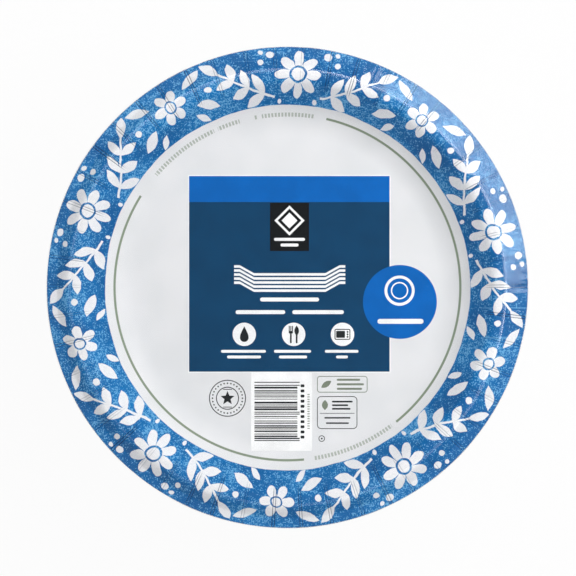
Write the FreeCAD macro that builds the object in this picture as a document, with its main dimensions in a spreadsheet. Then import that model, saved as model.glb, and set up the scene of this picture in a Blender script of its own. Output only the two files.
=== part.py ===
import FreeCAD, Part
import math
import os
import Sketcher

# A sealed pack of pressed paper dinner plates, food side up.
# A plate is one piece of board of constant thickness: a flat floor, a wide bend, a steep
# wall, a rounded crest, a falling skirt and a flat lip. The plates nest at the pitch at
# which board almost meets board on the steepest slope. One clear film closes the stack:
# it runs taut from the bottom plate's bend to its lip, stands straight along all the
# lips, and runs taut from the top plate's lip over its crest.
# The origin is the middle of the film's underside, with +Z up the stack.

SIZES = (
    # alias, value in millimetres, degrees or pieces, meaning
    ("board_thickness", 0.55, "thickness of the coated board"),
    ("floor_radius", 81.5, "radius of the flat floor"),
    ("floor_bend", 24.0, "radius of the bend from floor to wall, on the food side"),
    ("wall_angle", 50.0, "slope of the wall from level"),
    ("rim_rise", 20.5, "height of the crest above the floor"),
    ("crest_bend", 6.5, "radius of both bends of the crest, on the food side"),
    ("crest_flat", 2.0, "width of the level strip on top of the crest"),
    ("skirt_angle", 35.0, "slope of the skirt outside the crest, from level"),
    ("skirt_drop", 4.0, "height of the crest above the lip"),
    ("lip_bend", 2.5, "radius of the bend from skirt to lip, on the food side"),
    ("lip_width", 4.5, "width of the level lip"),
    ("nest_gap", 0.1, "upright clearance between two plates on the steepest slope"),
    ("plate_count", 204, "number of plates"),
    ("pleat_count", 50, "number of pleats round the rim"),
    ("pleat_width", 0.9, "width of a pleat's crease"),
    ("pleat_depth", 0.15, "depth of a pleat's crease"),
    ("pleat_reach", 24.0, "length of a pleat, inwards from the lip's edge"),
    ("film_thickness", 0.1, "thickness of the shrink film"),
    ("film_gap", 0.1, "clearance between the plates and the film"),
)

# The plates between the top and the bottom one share this many nodes
SHARED_NODES = 51

# Formulas that several properties use
WALL_RUN = (
    "(Sizes.rim_rise - (Sizes.floor_bend + Sizes.crest_bend) * (1 - cos(Sizes.wall_angle)))"
    " / sin(Sizes.wall_angle)"
)
SKIRT_RUN = (
    "(Sizes.skirt_drop - (Sizes.crest_bend + Sizes.lip_bend) * (1 - cos(Sizes.skirt_angle)))"
    " / sin(Sizes.skirt_angle)"
)
PITCH = "(Sizes.board_thickness / cos(max(Sizes.wall_angle; Sizes.skirt_angle)) + Sizes.nest_gap)"
STACK_RISE = f"(Sizes.plate_count - 1) * {PITCH}"
SEAT = "Sizes.film_gap + Sizes.film_thickness"
CREST_HEIGHT = "Sizes.board_thickness + Sizes.rim_rise"
RIM_RADIUS = "PlateLine.Constraints.rim_radius / 1mm"
SHOULDER_RADIUS = "PlateLine.Constraints.shoulder_radius / 1mm"

# Point numbers that a sketch's constraints use, and the sketch's own origin and upright axis
START = 1
END = 2
ORIGIN = (-1, 1)
UPRIGHT = -2

doc = FreeCAD.newDocument("PaperPlates")
sheet = doc.addObject("Spreadsheet::Sheet", "Sizes")
for row, (alias, value, meaning) in enumerate(SIZES, start=1):
    sheet.set(f"A{row}", meaning)
    sheet.set(f"B{row}", str(value))
    sheet.setAlias(f"B{row}", alias)
doc.recompute()


def amount(formula):
    """The present value of a formula over the sheet's cells."""
    return float(sheet.evalExpression(formula))


class Chain:
    """Lines and arcs that follow one another in a sketch, which stands on the stack's axis.

    The sketch's x is the distance from the axis and its y is the height. Each piece
    starts where the last one ended and runs on from it smoothly, unless a corner
    comes between them."""

    def __init__(self, name, height):
        self.sketch = doc.addObject("Sketcher::SketchObject", name)
        upright = FreeCAD.Rotation(FreeCAD.Vector(1, 0, 0), 90)
        self.sketch.Placement = FreeCAD.Placement(FreeCAD.Vector(), upright)
        self.place = FreeCAD.Vector(0, height, 0)
        self.heading = 0.0
        self.free_end = None
        self.smooth = True

    def direction(self, turn=0.0):
        angle = math.radians(self.heading + turn)
        return FreeCAD.Vector(math.cos(angle), math.sin(angle), 0)

    def join(self, piece, first_end, last_end):
        """Tie a new piece to the one before it, and remember where the chain now ends."""
        if self.free_end:
            kind = "Tangent" if self.smooth else "Coincident"
            self.constrain(kind, *self.free_end, piece, first_end)
        self.free_end = (piece, last_end)
        self.smooth = True
        return piece

    def line(self, length):
        start = self.place
        self.place = start + self.direction() * length
        piece = self.sketch.addGeometry(Part.LineSegment(start, self.place), False)
        return self.join(piece, START, END)

    def bend(self, radius, turn):
        """An arc that turns the heading by so many degrees, to the left if positive."""
        side = math.copysign(90, turn)
        centre = self.place + self.direction(side) * radius
        self.place = centre + self.direction(turn - side) * radius
        first, last = self.heading - side, self.heading - side + turn
        low, high = sorted((math.radians(first), math.radians(last)))
        circle = Part.Circle(centre, FreeCAD.Vector(0, 0, 1), radius)
        piece = self.sketch.addGeometry(Part.ArcOfCircle(circle, low, high), False)
        self.heading += turn
        return self.join(piece, START, END) if turn > 0 else self.join(piece, END, START)

    def corner(self, turn):
        self.heading += turn
        self.smooth = False

    def constrain(self, kind, *where):
        self.sketch.addConstraint(Sketcher.Constraint(kind, *where))

    def measure(self, kind, where, formula):
        """A driving dimension, bound to a formula."""
        value = math.radians(amount(formula)) if kind == "Angle" else amount(formula)
        number = self.sketch.addConstraint(Sketcher.Constraint(kind, *where, value))
        self.sketch.setExpression(f"Constraints[{number}]", formula)

    def report(self, name, kind, where, value):
        """A reference dimension, which other objects read by its name."""
        number = self.sketch.addConstraint(Sketcher.Constraint(kind, *where, value))
        self.sketch.setDriving(number, False)
        self.sketch.renameConstraint(number, name)


def add_plate_line():
    """The food side of a plate's section, from the axis to the lip's edge."""
    wall = amount("Sizes.wall_angle")
    skirt = amount("Sizes.skirt_angle")
    crest_bend = amount("Sizes.crest_bend")
    chain = Chain("PlateLine", amount("Sizes.board_thickness"))
    floor = chain.line(amount("Sizes.floor_radius"))
    floor_bend = chain.bend(amount("Sizes.floor_bend"), wall)
    rise = chain.line(amount(WALL_RUN))
    inner_crest = chain.bend(crest_bend, -wall)
    crest = chain.line(amount("Sizes.crest_flat"))
    shoulder_radius = chain.place.x
    outer_crest = chain.bend(crest_bend, -skirt)
    fall = chain.line(amount(SKIRT_RUN))
    lip_bend = chain.bend(amount("Sizes.lip_bend"), skirt)
    lip = chain.line(amount("Sizes.lip_width"))

    for level in (floor, crest, lip):
        chain.constrain("Horizontal", level)
    chain.constrain("PointOnObject", floor, START, UPRIGHT)
    chain.constrain("Equal", inner_crest, outer_crest)
    chain.measure("DistanceY", (*ORIGIN, floor, START), "Sizes.board_thickness")
    chain.measure("DistanceX", (floor, START, floor, END), "Sizes.floor_radius")
    chain.measure("Radius", (floor_bend,), "Sizes.floor_bend")
    chain.measure("Angle", (rise,), "Sizes.wall_angle")
    chain.measure("DistanceY", (floor, END, crest, START), "Sizes.rim_rise")
    chain.measure("Radius", (inner_crest,), "Sizes.crest_bend")
    chain.measure("DistanceX", (crest, START, crest, END), "Sizes.crest_flat")
    chain.measure("Angle", (fall,), "-Sizes.skirt_angle")
    chain.measure("DistanceY", (lip, START, crest, END), "Sizes.skirt_drop")
    chain.measure("Radius", (lip_bend,), "Sizes.lip_bend")
    chain.measure("DistanceX", (lip, START, lip, END), "Sizes.lip_width")
    chain.report("rim_radius", "DistanceX", (*ORIGIN, lip, END), chain.place.x)
    chain.report("shoulder_radius", "DistanceX", (*ORIGIN, crest, END), shoulder_radius)
    return chain.sketch


def add_wrap_line():
    """The stack's taut outline, from the bottom plate's underside round to the top crest.

    It is drawn with the bottom plate's underside at height 0. Between each lip's corner
    and the bend it is pulled over, it is the straight line that touches that bend."""
    rim_radius = amount(RIM_RADIUS)
    under_bend = amount("Sizes.floor_bend + Sizes.board_thickness")
    crest_bend = amount("Sizes.crest_bend")
    lip_height = amount("Sizes.rim_rise - Sizes.skirt_drop")
    side = amount(f"{STACK_RISE} + Sizes.board_thickness")

    reach = FreeCAD.Vector(rim_radius - amount("Sizes.floor_radius"), lip_height - under_bend, 0)
    lower_slope = math.degrees(math.atan2(reach.y, reach.x) + math.asin(under_bend / reach.Length))
    lower_run = math.sqrt(reach.Length**2 - under_bend**2)
    overhang = rim_radius - amount(SHOULDER_RADIUS)
    reach = FreeCAD.Vector(overhang, crest_bend - amount("Sizes.skirt_drop"), 0)
    upper_slope = math.degrees(math.asin(crest_bend / reach.Length) - math.atan2(reach.y, reach.x))
    upper_run = math.sqrt(reach.Length**2 - crest_bend**2)

    chain = Chain("WrapLine", 0)
    base = chain.line(amount("Sizes.floor_radius"))
    lower_bend = chain.bend(under_bend, lower_slope)
    cone = chain.line(lower_run)
    chain.corner(90 - lower_slope)
    wall = chain.line(side)
    chain.corner(90 - upper_slope)
    shoulder = chain.line(upper_run)
    upper_bend = chain.bend(crest_bend, upper_slope)
    roof = chain.line(amount(SHOULDER_RADIUS))

    chain.constrain("Coincident", base, START, *ORIGIN)
    chain.constrain("Horizontal", base)
    chain.constrain("Vertical", wall)
    chain.constrain("Horizontal", roof)
    chain.constrain("PointOnObject", roof, END, UPRIGHT)
    chain.measure("DistanceX", (*ORIGIN, base, END), "Sizes.floor_radius")
    chain.measure("Radius", (lower_bend,), "Sizes.floor_bend + Sizes.board_thickness")
    chain.measure("DistanceX", (*ORIGIN, cone, END), RIM_RADIUS)
    chain.measure("DistanceY", (*ORIGIN, cone, END), "Sizes.rim_rise - Sizes.skirt_drop")
    chain.measure("DistanceY", (wall, START, wall, END), f"{STACK_RISE} + Sizes.board_thickness")
    chain.measure("Radius", (upper_bend,), "Sizes.crest_bend")
    chain.measure("DistanceX", (*ORIGIN, roof, START), SHOULDER_RADIUS)
    chain.measure("DistanceY", (shoulder, START, roof, START), "Sizes.skirt_drop")
    return chain.sketch


def add_offset(name, line, formula, fill=False):
    """A line parallel to another, to its left if the formula is positive, or the band between."""
    offset = doc.addObject("Part::Offset2D", name)
    offset.Source = line
    offset.Mode = "Skin"
    offset.Join = "Arc"
    offset.Fill = fill
    offset.Value = amount(formula)
    offset.setExpression("Value", formula)
    return offset


def add_turned(name, section):
    """A section turned all the way round the stack's axis."""
    turned = doc.addObject("Part::Revolution", name)
    turned.Source = section
    turned.Axis = (0, 0, 1)
    turned.Base = (0, 0, 0)
    turned.Angle = 360
    return turned


def add_copy(name, source):
    copy = doc.addObject("App::Link", name)
    copy.LinkedObject = source
    return copy


def add_group(name, members):
    group = doc.addObject("Part::Compound", name)
    group.Links = members
    return group


def add_pleat_creases(plate_line):
    """Tools for the creases: thin wedges whose undersides run just below the rim's food side.

    A wedge's section has straight sides, with one more corner in the middle of each bend."""
    rim_radius = amount(RIM_RADIUS)
    depth = amount("Sizes.pleat_depth")
    start = rim_radius - amount("Sizes.pleat_reach")
    corners = [point for edge in plate_line.Shape.Edges for point in edge.discretize(3)]
    corners.sort(key=lambda point: point.x)
    before = [point for point in corners if point.x <= start][-1]
    after = [point for point in corners if point.x > start]
    share = (start - before.x) / (after[0].x - before.x)
    skin = [before + (after[0] - before) * share, *after, after[-1] + FreeCAD.Vector(depth, 0, 0)]
    section = [point - FreeCAD.Vector(0, 0, depth) for point in skin]
    above = amount(CREST_HEIGHT) + depth
    section += [FreeCAD.Vector(skin[-1].x, 0, above), FreeCAD.Vector(start, 0, above)]

    face = Part.Face(Part.makePolygon(section + section[:1]))
    width = math.degrees(amount("Sizes.pleat_width") / rim_radius)
    crease = doc.addObject("Part::Feature", "Crease")
    crease.Shape = face.revolve(FreeCAD.Vector(), FreeCAD.Vector(0, 0, 1), width)
    creases = []
    for number in range(int(amount("Sizes.pleat_count"))):
        copy = add_copy(f"Crease{number + 1:02d}", crease)
        copy.setExpression("Placement.Rotation.Angle", f"{number} * 360 / Sizes.pleat_count")
        creases.append(copy)
    return add_group("Creases", creases)


def add_top_plate(plate, creases):
    """The top plate has its pleats pressed in; on the plates below, only the lips show."""
    top_plate = doc.addObject("Part::Cut", "TopPlate")
    top_plate.Label = "top_plate"
    top_plate.Base = plate
    top_plate.Tool = creases
    top_plate.setExpression("Placement.Base.z", f"{SEAT} + {STACK_RISE}")
    return top_plate


def add_plate_groups(plate):
    """The other plates: the bottom one by itself, and those between in groups of a few."""
    count = int(amount("Sizes.plate_count"))
    between = count - 2
    share = math.ceil(between / SHARED_NODES)
    nested = []
    for number in range(share):
        copy = add_copy(f"Nested{number + 1}", plate)
        copy.setExpression("Placement.Base.z", f"{number} * {PITCH}")
        nested.append(copy)

    bottom = add_group("BottomPlate", nested[:1])
    bottom.Label = "bottom_plate"
    bottom.setExpression("Placement.Base.z", SEAT)
    groups = [bottom]
    for first in range(2, count, share):
        last = min(first + share, count) - 1
        group = add_group(f"Plates{first}", nested[: last - first + 1])
        group.Label = f"plates_{first:03d}_to_{last:03d}"
        group.setExpression("Placement.Base.z", f"{SEAT} + {first - 1} * {PITCH}")
        groups.append(group)
    return groups


def add_shrink_film(wrap_line):
    """The film is a closed skin of constant thickness, clear of the plates all round.

    The outline is followed from the base upwards, so outwards is to its right."""
    inside = add_offset("FilmInside", wrap_line, "-Sizes.film_gap")
    section = add_offset("FilmSection", inside, "-Sizes.film_thickness", fill=True)
    film = add_turned("ShrinkFilm", section)
    film.Label = "shrink_film"
    film.setExpression("Placement.Base.z", SEAT)
    return film


def build():
    """Every sub-part of the pack, from the base up."""
    plate_line = add_plate_line()
    doc.recompute()
    board = add_offset("PlateSection", plate_line, "-Sizes.board_thickness", fill=True)
    plate = add_turned("PlateForm", board)
    parts = add_plate_groups(plate)
    parts.append(add_top_plate(plate, add_pleat_creases(plate_line)))
    parts.append(add_shrink_film(add_wrap_line()))
    doc.recompute()
    return parts


def check(parts):
    """Stop if anything in the document failed, or if a sub-part is not sound."""
    for item in doc.Objects:
        if "Invalid" in item.State or "Error" in item.State:
            raise RuntimeError(f"{item.Name} failed: {item.State}")
    for part in parts:
        if part.Shape.isNull() or not part.Shape.isValid():
            raise RuntimeError(f"{part.Label} has no sound shape")
        if not part.Shape.Solids:
            raise RuntimeError(f"{part.Label} is not solid")


parts = build()
check(parts)
os.makedirs("parts", exist_ok=True)
for part in parts:
    part.Shape.exportStep(f"parts/{part.Label}.step")
solids = sum(len(part.Shape.Solids) for part in parts)
print(f"{len(parts)} nodes, {solids} solids")
print(f"rim radius {amount(RIM_RADIUS):.3f} mm, pitch {amount(PITCH):.4f} mm")
print(f"film box {parts[-1].Shape.BoundBox}")
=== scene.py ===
# %% [markdown]
# # A sealed pack of paper plates
#
# The object is a tall stack of printed paper plates in clear shrink film, with a label
# printed on the film's top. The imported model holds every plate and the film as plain
# solids. This lesson gives them their looks: a pleated and printed top plate, plates
# with cut paper edges below it, a thin taut film, and flat fields of ink for the label.
# Nothing here moves the model. The script only reads where its pieces lie.

import bpy
import numpy as np
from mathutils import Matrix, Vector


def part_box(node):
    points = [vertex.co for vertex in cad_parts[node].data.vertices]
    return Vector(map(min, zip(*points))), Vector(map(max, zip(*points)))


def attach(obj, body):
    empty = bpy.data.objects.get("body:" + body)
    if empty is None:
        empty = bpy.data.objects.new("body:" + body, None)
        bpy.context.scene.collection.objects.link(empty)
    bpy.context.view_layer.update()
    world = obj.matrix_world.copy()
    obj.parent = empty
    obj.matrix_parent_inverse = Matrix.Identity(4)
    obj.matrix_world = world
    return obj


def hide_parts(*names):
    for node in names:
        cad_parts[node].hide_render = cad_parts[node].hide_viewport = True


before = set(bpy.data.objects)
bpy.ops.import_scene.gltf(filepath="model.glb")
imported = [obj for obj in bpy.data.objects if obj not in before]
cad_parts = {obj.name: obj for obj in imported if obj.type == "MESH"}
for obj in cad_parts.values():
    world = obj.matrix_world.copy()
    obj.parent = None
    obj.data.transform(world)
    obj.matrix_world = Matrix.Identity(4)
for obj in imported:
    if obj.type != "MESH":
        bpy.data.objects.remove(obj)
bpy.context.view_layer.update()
MM = 0.001
print("nodes in the frame:", len(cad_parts))

# %% [markdown]
# The sizes below repeat the plate's own section, in millimetres, because the pieces are
# drawn again with more detail than the solids have. Everything that can be measured on
# the frame is measured there instead: how high the top plate sits, how far the film
# reaches, and which plates share a node. Comparing the two shows at once if a size is off.

# %% Sizes of the plate
BOARD = 0.55
FLOOR_RADIUS = 81.5
FLOOR_BEND = 24.0
WALL_ANGLE = np.radians(50)
RIM_RISE = 20.5
CREST_BEND = 6.5
CREST_FLAT = 2.0
SKIRT_ANGLE = np.radians(35)
SKIRT_DROP = 4.0
LIP_BEND = 2.5
LIP_WIDTH = 4.5
PLEATS = 50

WALL_RISE = RIM_RISE - (FLOOR_BEND + CREST_BEND) * (1 - np.cos(WALL_ANGLE))
WALL_RUN = WALL_RISE / np.sin(WALL_ANGLE)
SKIRT_FALL = SKIRT_DROP - (CREST_BEND + LIP_BEND) * (1 - np.cos(SKIRT_ANGLE))
SKIRT_RUN = SKIRT_FALL / np.sin(SKIRT_ANGLE)

top_low, top_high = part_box("top_plate")
film_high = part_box("shrink_film")[1]
RIM_RADIUS = top_high.x / MM
TOP_SEAT = top_low.z / MM
print("rim radius", round(RIM_RADIUS, 3), "top plate sits at", round(TOP_SEAT, 3), "mm")

# %% [markdown]
# ## One section for every plate
#
# A pressed plate is a single sheet of board, so its section is one line with the same
# thickness everywhere. The line is walked from the middle outwards like a path: straight
# runs keep their slope and bends change it evenly. The underside is the same walk, moved
# one board thickness along the normal. Few steps are enough for the plates that are
# hidden, and the top plate takes more.

# %% The walk along the food side
def food_side(steps):
    """Radius, height and slope at each point of the food side, from the floor's edge out.

    A run of length L at slope a adds (L cos a, L sin a). A bend of radius R from slope
    a to slope b adds R (sin b - sin a, cos a - cos b), with the sign of its turn.
    steps holds how many pieces each bend, and each run after it, is divided into."""
    bends = (
        (FLOOR_BEND, 0.0, WALL_ANGLE, WALL_RUN),
        (CREST_BEND, WALL_ANGLE, 0.0, CREST_FLAT),
        (CREST_BEND, 0.0, -SKIRT_ANGLE, SKIRT_RUN),
        (LIP_BEND, -SKIRT_ANGLE, 0.0, LIP_WIDTH),
    )
    radius, height, slope = [np.array([FLOOR_RADIUS])], [np.array([BOARD])], [np.zeros(1)]
    for (bend, first, last, run), (bend_steps, run_steps) in zip(bends, steps):
        side = np.sign(last - first)
        turned = np.linspace(first, last, bend_steps + 1)[1:]
        radius.append(radius[-1][-1] + side * bend * (np.sin(turned) - np.sin(first)))
        height.append(height[-1][-1] + side * bend * (np.cos(first) - np.cos(turned)))
        along = np.linspace(0, run, run_steps + 1)[1:]
        radius.append(radius[-1][-1] + along * np.cos(last))
        height.append(height[-1][-1] + along * np.sin(last))
        slope += [turned, np.full(run_steps, last)]
    return np.concatenate(radius), np.concatenate(height), np.concatenate(slope)


def underside(radius, height, slope):
    """The same line, moved by one board thickness against the normal (-sin a, cos a)."""
    return radius + BOARD * np.sin(slope), height - BOARD * np.cos(slope)


PLAIN_STEPS = ((3, 1), (2, 1), (2, 1), (1, 1))
FINE_STEPS = ((10, 3), (6, 2), (5, 2), (4, 4))
radius, height, slope = food_side(FINE_STEPS)
print("section:", len(radius), "points, ends at", round(float(radius[-1]), 3), "mm")

# %% [markdown]
# ## Meshes from whole arrays
#
# A plate and a film are both a set of rings with one point in the middle at each end.
# So one helper turns arrays of radius and height, one row for each ring, into points, and
# another knits neighbouring rings with quads and closes the ends with triangles. Numpy
# hands the finished arrays to the mesh in a few calls, which stays quick for thousands
# of faces.

# %% Rings to points and faces
def ring_points(radius, height, angle, first_pole, last_pole):
    """Points at (r cos a, r sin a, h), ring after ring, then the two poles on the axis."""
    radius, height, angle = np.broadcast_arrays(radius, height, angle)
    ring = np.stack((radius * np.cos(angle), radius * np.sin(angle), height), axis=-1)
    poles = np.array([[0, 0, first_pole], [0, 0, last_pole]])
    return np.concatenate((ring.reshape(-1, 3), poles))


def ring_faces(rings, columns):
    """Quads between neighbouring rings, and a fan of triangles at each pole."""
    index = np.arange(rings * columns).reshape(rings, columns)
    beside = np.roll(index, -1, axis=1)
    quads = np.stack((index[:-1], index[1:], beside[1:], beside[:-1]), axis=-1)
    first_pole = np.full(columns, rings * columns)
    first = np.stack((first_pole, index[0], beside[0]), axis=-1)
    last = np.stack((index[-1], first_pole + 1, beside[-1]), axis=-1)
    return quads.reshape(-1, 4), np.concatenate((first, last))


print("faces of a ring of 4 columns:", ring_faces(2, 4)[0].tolist())

# %% [markdown]
# The arrays become a mesh in one place, so every piece is made alike: all faces smooth,
# sharp edges kept where two faces meet at more than 40 degrees.

# %% From arrays to an object
SHARP_ANGLE = np.radians(40)


def make_piece(name, points, quads, tris, materials, quad_slots=0, tri_slots=0, **values):
    """A mesh object at the origin from points in millimetres and faces of four and three.

    Each further named value is kept on the mesh as an attribute, one number to a point."""
    mesh = bpy.data.meshes.new(name)
    mesh.vertices.add(len(points))
    mesh.vertices.foreach_set("co", (points * MM).astype(np.float32).ravel())
    mesh.loops.add(quads.size + tris.size)
    mesh.loops.foreach_set("vertex_index", np.concatenate((quads.ravel(), tris.ravel())))
    starts = np.concatenate((np.arange(len(quads)) * 4, quads.size + np.arange(len(tris)) * 3))
    mesh.polygons.add(len(starts))
    mesh.polygons.foreach_set("loop_start", starts)
    quad_slots = np.broadcast_to(quad_slots, len(quads))
    slots = np.concatenate((quad_slots, np.broadcast_to(tri_slots, len(tris))))
    mesh.polygons.foreach_set("material_index", slots.astype(np.int32))
    mesh.polygons.foreach_set("use_smooth", np.ones(len(starts), bool))
    for material in materials:
        mesh.materials.append(material)
    mesh.update(calc_edges=True)
    mesh.validate()
    mesh.set_sharp_from_angle(angle=SHARP_ANGLE)
    for label, value in values.items():
        attribute = mesh.attributes.new(label, "FLOAT", "POINT")
        attribute.data.foreach_set("value", value.astype(np.float32))
    piece = bpy.data.objects.new(name, mesh)
    bpy.context.collection.objects.link(piece)
    print("made", name, "with", len(quads) * 2 + len(tris), "triangles")
    return piece

# %% [markdown]
# ## Materials from small effects
#
# A material is a tree of nodes. The helpers below add one node at a time, so that a tree
# reads like a formula. Effects that several materials share, such as the grain of board,
# become node groups. A group only gives out colours and values, and the shader itself
# stays in the material.

# %% Helpers for node trees
def feed(tree, socket, value):
    """Link an output into a socket, or write a plain value on it."""
    if isinstance(value, bpy.types.NodeSocket):
        tree.links.new(value, socket)
    else:
        socket.default_value = value


def add(tree, kind, *values, **settings):
    """A new node with its settings and its inputs filled in order."""
    node = tree.nodes.new("ShaderNode" + kind)
    for name, setting in settings.items():
        setattr(node, name, setting)
    for socket, value in zip(node.inputs, values):
        if value is not None:
            feed(tree, socket, value)
    return node


def maths(tree, operation, *values):
    """The result of one Math node."""
    return add(tree, "Math", *values, operation=operation).outputs[0]


def vectors(tree, operation, *values):
    """The vector that comes out of one Vector Math node."""
    return add(tree, "VectorMath", *values, operation=operation).outputs["Vector"]


def measured(tree, operation, *values):
    """The number that comes out of one Vector Math node, such as a length."""
    return add(tree, "VectorMath", *values, operation=operation).outputs["Value"]


def largest(tree, values):
    """The largest of several values, by one Maximum node after another."""
    most, *others = values
    for value in others:
        most = maths(tree, "MAXIMUM", most, value)
    return most


def near(tree, value, target, reach):
    """reach - |value - target|, which is above zero where the value is within reach."""
    away = maths(tree, "ABSOLUTE", maths(tree, "SUBTRACT", value, target))
    return maths(tree, "SUBTRACT", reach, away)


def steps(tree, value, low, high, out_low=0.0, out_high=1.0):
    """A smooth step: out_low below low, out_high above high, eased between."""
    ends = (value, low, high, out_low, out_high)
    return add(tree, "MapRange", *ends, interpolation_type="SMOOTHSTEP").outputs[0]


def noise(tree, vector, scale, detail=2.0, roughness=0.5):
    """The grey value of a noise texture, about 0.5 on average."""
    node = add(tree, "TexNoise", vector)
    node.inputs["Scale"].default_value = scale
    node.inputs["Detail"].default_value = detail
    node.inputs["Roughness"].default_value = roughness
    return node.outputs["Fac"]


def blend(tree, amount, first, second, way="MIX"):
    """Two colours mixed by an amount from 0 to 1, or multiplied by that amount."""
    node = add(tree, "Mix", data_type="RGBA", blend_type=way)
    feed(tree, node.inputs["Factor"], amount)
    feed(tree, node.inputs[6], first)
    feed(tree, node.inputs[7], second)
    return node.outputs[2]


print("node helpers ready")

# %% [markdown]
# Colours are easiest to choose as they look on a screen, but a shader works with linear
# light, so one helper converts them. Groups and materials always begin with the same few
# lines, which two more helpers write.

# %% Colours, groups and materials
def srgb(red, green, blue):
    """A colour as read off a screen, 0 to 255, turned into the linear values of a shader."""
    seen = np.array([red, green, blue]) / 255
    linear = np.where(seen <= 0.04045, seen / 12.92, ((seen + 0.055) / 1.055) ** 2.4)
    return (*linear.tolist(), 1.0)


def new_group(name, inputs, outputs):
    """An empty node group with named sockets, and the two nodes at its ends."""
    group = bpy.data.node_groups.new(name, "ShaderNodeTree")
    for label, kind in inputs:
        group.interface.new_socket(label, in_out="INPUT", socket_type="NodeSocket" + kind)
    for label, kind in outputs:
        group.interface.new_socket(label, in_out="OUTPUT", socket_type="NodeSocket" + kind)
    start, end = group.nodes.new("NodeGroupInput"), group.nodes.new("NodeGroupOutput")
    return group, start.outputs, end.inputs


def use_group(tree, group, *values):
    """The outputs of a group used in a tree."""
    node = tree.nodes.new("ShaderNodeGroup")
    node.node_tree = group
    for socket, value in zip(node.inputs, values):
        feed(tree, socket, value)
    return node.outputs


def new_material(name):
    """A material's tree, its Principled shader and its output node."""
    material = bpy.data.materials.new(name)
    material.use_nodes = True
    tree = material.node_tree
    return material, tree, tree.nodes["Principled BSDF"], tree.nodes["Material Output"]


print("white paper as linear light:", [round(value, 3) for value in srgb(236, 236, 237)[:3]])

# %% [markdown]
# Board is pressed fibre. Seen closely it is never quite even: long soft clouds where the
# fibres lie thicker, and a fine grain that catches the light. One group gives both, with
# a height for the bump node, and every paper surface in the scene uses it.

# %% The grain of board
def make_board_grain():
    """Slow clouds, a fine grain, and a height of 6 parts of fibre to 4 of grain."""
    outputs = (("Cloud", "Float"), ("Grain", "Float"), ("Height", "Float"))
    group, start, end = new_group("board grain", (("Vector", "Vector"),), outputs)
    cloud = noise(group, start["Vector"], 45, 4)
    grain = noise(group, start["Vector"], 900, 3, 0.6)
    fibre = noise(group, start["Vector"], 220, 2, 0.4)
    feed(group, end["Cloud"], cloud)
    feed(group, end["Grain"], grain)
    fine = maths(group, "MULTIPLY", grain, 0.4)
    feed(group, end["Height"], maths(group, "MULTIPLY_ADD", fibre, 0.6, fine))
    return group


BOARD_GRAIN = make_board_grain()


def make_bare_board():
    """Off-white board: two shades by the cloud, grey flecks and roughness by the grain."""
    material, tree, shader, _ = new_material("bare board")
    place = add(tree, "TexCoord").outputs["Object"]
    cloud, grain, height = use_group(tree, BOARD_GRAIN, place)
    shade = blend(tree, steps(tree, cloud, 0.35, 0.65), srgb(232, 231, 226), srgb(242, 241, 237))
    fleck = steps(tree, grain, 0.62, 0.74, 0.0, 0.35)
    feed(tree, shader.inputs["Base Color"], blend(tree, fleck, shade, srgb(214, 212, 204)))
    feed(tree, shader.inputs["Roughness"], steps(tree, grain, 0.3, 0.7, 0.62, 0.78))
    bump = add(tree, "Bump", 0.35, 0.0001)
    feed(tree, bump.inputs["Height"], height)
    feed(tree, shader.inputs["Normal"], bump.outputs[0])
    return material


bare_board = make_bare_board()
print("bare board ready")

# %% [markdown]
# ## Ink on the plate
#
# The food side is white, with a thin line round the floor and a broad band of blue out to
# the edge. Ink on board is never flat: the print is speckled as if dabbed with a sponge.
# The flowers and leaves are left white, like cut paper, and the blue is printed round them.
# They are drawn as formulas on flat coordinates: u runs along the rim and v across it, both
# in millimetres. The rim is divided into five equal parts, each mirrored about its middle,
# so the whole border takes only two flowers, one sprig and a few leaves.

# %% The sponged ink and the shapes left white
BAND_START = 98.0
BAND_MIDDLE = 113.0
REPEATS = 5
UNIT = 2 * np.pi * BAND_MIDDLE / REPEATS
SCRATCH_TURN = (0, 0, 0.7)
SCRATCH_SCALE = (14, 420, 60)
PETAL_NOTCH = 0.22
EYE_SIZE = 0.27
EYE_GAP = 0.36


def make_sponged_ink():
    """Blue with light specks, denser where a slow cloud is light, and a few long scratches."""
    group, start, end = new_group("sponged ink", (("Vector", "Vector"),), (("Color", "Color"),))
    place = start["Vector"]
    cloud = noise(group, place, 38, 3, 0.55)
    fine = noise(group, place, 1250, 1, 0.6)
    middle = noise(group, place, 420, 2, 0.6)
    dab = maths(group, "MULTIPLY_ADD", fine, 0.65, maths(group, "MULTIPLY", middle, 0.35))
    edge = steps(group, cloud, 0.34, 0.68, 0.58, 0.49)
    over = maths(group, "SUBTRACT", dab, edge)
    specks = steps(group, over, 0.0, 0.035, 0.0, 0.8)
    stretched = add(group, "Mapping", place, None, SCRATCH_TURN, SCRATCH_SCALE).outputs[0]
    scratch = steps(group, noise(group, stretched, 1, 1), 0.73, 0.78, 0.0, 0.45)
    specks = maths(group, "MAXIMUM", specks, scratch)
    base = blend(group, steps(group, cloud, 0.3, 0.7), srgb(0, 92, 156), srgb(0, 117, 186))
    feed(group, end["Color"], blend(group, specks, base, srgb(116, 184, 226)))
    return group


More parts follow.
